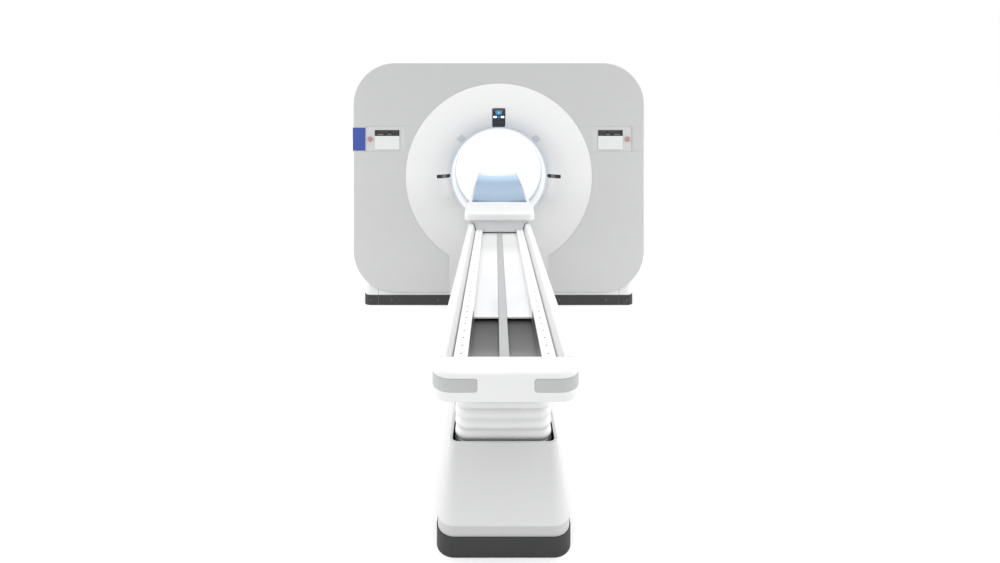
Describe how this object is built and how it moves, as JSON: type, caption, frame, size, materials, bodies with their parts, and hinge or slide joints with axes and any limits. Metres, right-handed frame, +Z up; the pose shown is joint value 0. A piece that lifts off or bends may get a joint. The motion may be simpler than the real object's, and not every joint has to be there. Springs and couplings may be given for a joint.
{
  "type": "ct scanner",
  "caption": "Hospital CT scanner: wide rounded gantry with a rotating measuring unit inside, and a patient couch that lifts and slides a padded cradle into the bore.",
  "frame": {"origin": "on the floor under the isocentre, at the centre of the gantry's four anchor holes", "axes": "+Z up, +Y along the bore from the couch's foot end towards the rear of the gantry, +X to the right seen from the couch's foot end"},
  "size_m": [2.393, 4.655, 1.995],
  "materials": {
    "grey_cover": "satin",
    "side_cover": "satin",
    "white_cover": "semi-gloss",
    "pedestal_grey": "satin",
    "plinth_dark": "matt",
    "screw_steel": "satin",
    "liner_white": "gloss",
    "window_film": "gloss",
    "seal_rubber": "matt",
    "camera_black": "gloss",
    "slot_black": "gloss",
    "corner_grey": "gloss",
    "panel_grey": "satin",
    "display_panel": "gloss",
    "button_red": "gloss",
    "tag_blue": "satin",
    "frame_steel": "matt",
    "bearing_steel": "ground",
    "slip_brass": "polished",
    "tube_housing": "cast",
    "detector_grey": "anodised",
    "tank_grey": "satin",
    "weight_iron": "cast",
    "belt_rubber": "matt",
    "chassis_dark": "satin",
    "guide_aluminium": "anodised",
    "strip_grey": "satin",
    "pad_grey": "matt",
    "carriage_grey": "satin",
    "cradle_white": "gloss",
    "mattress_blue": "vinyl",
    "bellows_grey": "matt",
    "roller_rubber": "matt"
  },
  "bodies": {
    "base": {"base_frame": "frame_steel", "bearing_outer_race": "bearing_steel", "bellows": "bellows_grey", "bore_liner_front": "liner_white", "bore_liner_rear": "liner_white", "bore_seal_ring": "seal_rubber", "camera_housing": "camera_black", "control_panel_left": "panel_grey", "control_panel_right": "panel_grey", "corner_windows": "corner_grey", "couch_base": "frame_steel", "couch_plinth": "plinth_dark", "display_left": "display_panel", "display_right": "display_panel", "drive_belt": "belt_rubber", "drive_motor": "frame_steel", "front_bezel": "white_cover", "front_cover": "grey_cover", "laser_windows": "slot_black", "left_side_cover": "side_cover", "lift_column": "frame_steel", "lift_gearmotor": "tank_grey", "link_duct": "pedestal_grey", "pedestal_cover": "pedestal_grey", "plinth_ends": "plinth_dark", "plinth_screws": "screw_steel", "plinth_strips": "plinth_dark", "rear_bezel": "white_cover", "rear_cover": "grey_cover", "right_side_cover": "side_cover", "scan_window": "window_film", "side_tag": "tag_blue", "skirt_ends": "side_cover", "skirt_strips": "side_cover", "stator_frame": "frame_steel", "top_cover": "side_cover"},
    "rotor": {"rotor_drum": "tube_housing", "bearing_inner_race": "bearing_steel", "slip_ring": "slip_brass", "xray_tube": "tube_housing", "detector_array": "detector_grey", "generator_tank": "tank_grey", "counterweight": "weight_iron"},
    "lift": {"lift_mast": "guide_aluminium", "tray_cover": "white_cover", "foot_cap": "white_cover", "grip_pads": "pad_grey", "couch_chassis": "chassis_dark", "floor_panels": "white_cover", "centre_strip": "strip_grey", "guide_rails": "guide_aluminium"},
    "cradle": {"carriage": "carriage_grey", "cradle_end_cap": "white_cover", "cradle_shell": "cradle_white", "mattress": "mattress_blue"},
    "pulley": {"drive_pulley": "bearing_steel"},
    "lift_screw_body": {"lift_screw": "bearing_steel"},
    "roller": {"support_roller": "roller_rubber"},
    "button_left": {"stop_button_left": "button_red"},
    "button_right": {"stop_button_right": "button_red"}
  },
  "joints": [
    {"name": "rotor_spin", "type": "hinge", "parent": "base", "child": "rotor", "pos_m": [0, 0.1, 1.062], "axis": [0, 1, 0], "continuous": true},
    {"name": "pulley_spin", "type": "hinge", "parent": "base", "child": "pulley", "pos_m": [0.78, 0.1, 0.422], "axis": [0, 1, 0], "continuous": true},
    {"name": "table_lift", "type": "slide", "parent": "base", "child": "lift", "axis": [0, 0, 1], "range_m": [-0.13, 0.05], "deforming": ["bellows"]},
    {"name": "lift_screw_spin", "type": "hinge", "parent": "base", "child": "lift_screw_body", "pos_m": [0, -2.227, 0.3], "axis": [0, 0, 1], "range_deg": [-900, 2340]},
    {"name": "cradle_slide", "type": "slide", "parent": "lift", "child": "cradle", "axis": [0, 1, 0], "range_m": [-1.95, 0]},
    {"name": "roller_spin", "type": "hinge", "parent": "lift", "child": "roller", "pos_m": [0, -0.616, 0.8297], "axis": [1, 0, 0], "range_deg": [0, 6208]},
    {"name": "stop_left_press", "type": "slide", "parent": "base", "child": "button_left", "axis": [0, 1, 0], "range_m": [0, 0.005], "stiffness_N_per_m": 600},
    {"name": "stop_right_press", "type": "slide", "parent": "base", "child": "button_right", "axis": [0, 1, 0], "range_m": [0, 0.005], "stiffness_N_per_m": 600}
  ],
  "couplings": [
    {"joint": "pulley_spin", "follows": "rotor_spin", "ratio": 13.333},
    {"joint": "lift_screw_spin", "follows": "table_lift", "rad_per_m": -314.16},
    {"joint": "roller_spin", "follows": "cradle_slide", "rad_per_m": -55.556}
  ]
}
